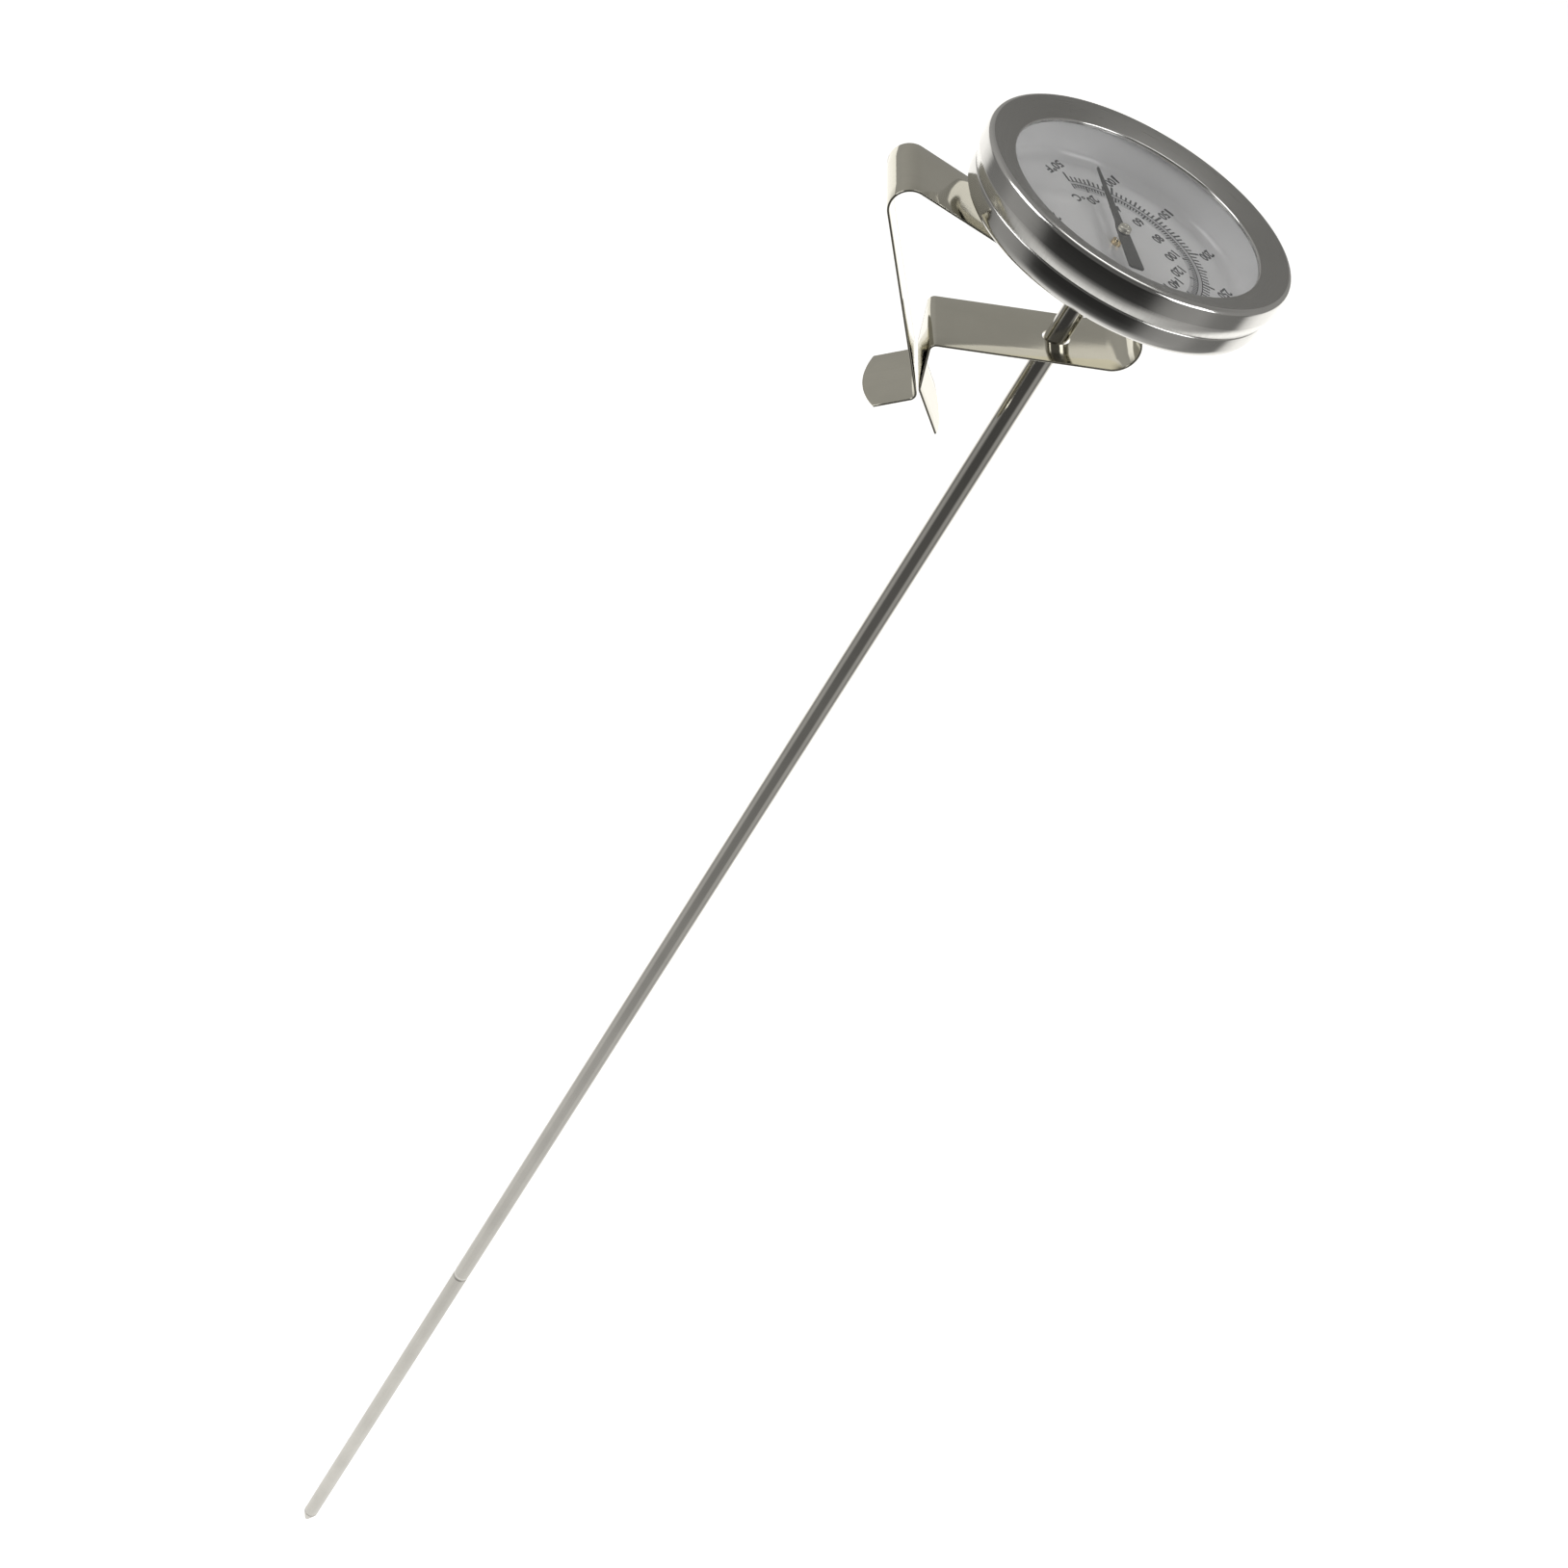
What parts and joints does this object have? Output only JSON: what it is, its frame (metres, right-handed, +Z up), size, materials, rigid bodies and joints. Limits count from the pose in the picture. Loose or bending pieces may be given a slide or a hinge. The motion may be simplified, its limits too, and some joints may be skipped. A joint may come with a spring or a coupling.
{
  "type": "dial thermometer",
  "caption": "Bimetal dial thermometer with a long slim stem and a spring-steel clip that grips the wall of a pot or kettle.",
  "frame": {"origin": "middle of the clip's grip, where its two legs close on the wall of a pot", "axes": "+Z up along the stem towards the dial; +X from the grip towards the stem; the clip's bends run along Y"},
  "size_m": [0.0588, 0.0494, 0.4195],
  "materials": {
    "bezel_steel": "fine satin front, polished side",
    "case_steel": "polished",
    "lens_glass": "clear, flat",
    "gasket_rubber": "matt",
    "dial_white": "satin white",
    "black_paint": "matt black, also the dial's printing",
    "stem_steel": "bright drawn tube",
    "satin_steel": "satin",
    "spring_steel": "bright rolled strip, faint lengthwise brushing",
    "brass": "turned",
    "bimetal": "rolled strip"
  },
  "bodies": {
    "clip": {"clip_lower_arm": "spring_steel"},
    "clip_upper": {"clip_upper_arm": "spring_steel"},
    "clip_jaw": {"clip_jaw_leg": "spring_steel"},
    "stem": {"stem_tube": "stem_steel", "stem_tip_plug": "stem_steel", "bimetal_coil": "bimetal", "spindle_guide_upper": "brass", "spindle_guide_middle": "brass", "spindle_guide_lower": "brass", "calibration_nut": "satin_steel", "spring_washer": "satin_steel", "retaining_collar": "brass"},
    "case": {"bezel_ring": "bezel_steel", "case_cup": "case_steel", "lens": "lens_glass", "lens_gasket": "gasket_rubber", "dial_plate": "dial_white", "dial_bushing": "brass"},
    "pointer": {"pointer": "black_paint", "pointer_hub": "satin_steel", "spindle": "stem_steel", "coil_top_collar": "satin_steel"}
  },
  "joints": [
    {"name": "arm_squeeze", "type": "hinge", "parent": "clip", "child": "clip_upper", "pos_m": [0.02643, 0, 0.01915], "axis": [0, -1, 0], "range_deg": [0, 5], "stiffness_Nm_per_rad": 0.4},
    {"name": "jaw_open", "type": "hinge", "parent": "clip_upper", "child": "clip_jaw", "pos_m": [-0.017, 0, 0.02455], "axis": [0, 1, 0], "range_deg": [0, 8], "stiffness_Nm_per_rad": 0.4},
    {"name": "stem_slide", "type": "slide", "parent": "clip", "child": "stem", "axis": [0, 0, 1], "range_m": [0, 0.375]},
    {"name": "case_turn", "type": "hinge", "parent": "stem", "child": "case", "pos_m": [0.0164, 0, 0.0389], "axis": [0, 0, 1], "range_deg": [-30, 30]},
    {"name": "pointer_turn", "type": "hinge", "parent": "stem", "child": "pointer", "pos_m": [0.0164, 0, 0.0389], "axis": [0, 0, 1], "range_deg": [-284, 20]}
  ]
}
